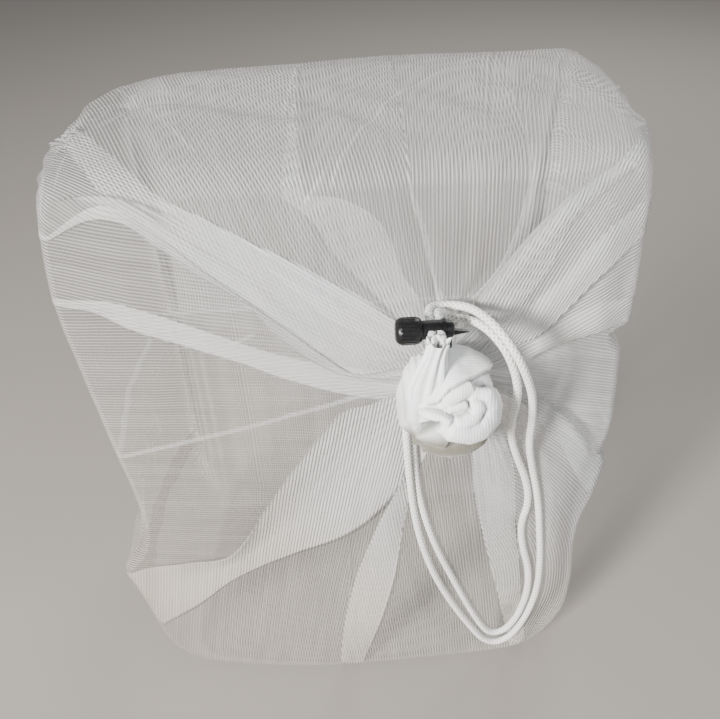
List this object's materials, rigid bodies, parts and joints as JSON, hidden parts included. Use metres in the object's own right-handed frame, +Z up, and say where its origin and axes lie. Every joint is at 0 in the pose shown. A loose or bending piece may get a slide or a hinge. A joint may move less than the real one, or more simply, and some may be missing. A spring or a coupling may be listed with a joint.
{
  "type": "mesh laundry bag",
  "caption": "Sheer ribbed mesh laundry bag in its filled shape, drawn shut into a gathered ball by a braided drawstring with a sprung cord lock.",
  "frame": {"origin": "middle of the flat underside, under the middle of the bag's box without its free cord", "axes": "+Z up, the gathered mouth faces -Y, +X to the right as the mouth is seen from in front"},
  "size_m": [0.2746, 0.2026, 0.346],
  "materials": {
    "mesh_cloth": "sheer ribbed polyester mesh, soft sheen",
    "hem_cloth": "gathered layers of the same mesh, nearly opaque",
    "seam_thread": "overlocked polyester thread",
    "drawstring": "braided polyester cord, slight sheen",
    "lock_plastic": "satin moulded",
    "button_plastic": "satin moulded, ribbed",
    "spring_steel": "drawn wire"
  },
  "bodies": {
    "bag": {"upper_panel": "mesh_cloth", "lower_panel": "mesh_cloth", "left_seam_overlock": "seam_thread", "right_seam_overlock": "seam_thread", "bottom_seam_overlock": "seam_thread", "hem_casing": "hem_cloth", "hem_stitch_line": "seam_thread", "drawstring_in_hem": "drawstring", "drawstring_outer_strand": "drawstring", "drawstring_inner_strand": "drawstring", "drawstring_knot": "drawstring"},
    "cord_lock": {"cord_lock_housing": "lock_plastic", "cord_lock_spring": "spring_steel"},
    "lock_button": {"cord_lock_plunger": "button_plastic"}
  },
  "joints": [
    {"name": "lock_slide", "type": "slide", "parent": "bag", "child": "cord_lock", "axis": [0, 0.9994, 0.0349], "range_m": [0, 0.004]},
    {"name": "button_press", "type": "slide", "parent": "cord_lock", "child": "lock_button", "axis": [1, 0, 0], "range_m": [0, 0.002], "stiffness_N_per_m": 1200, "springref_m": -0.002, "deforming": ["cord_lock_spring"]}
  ]
}
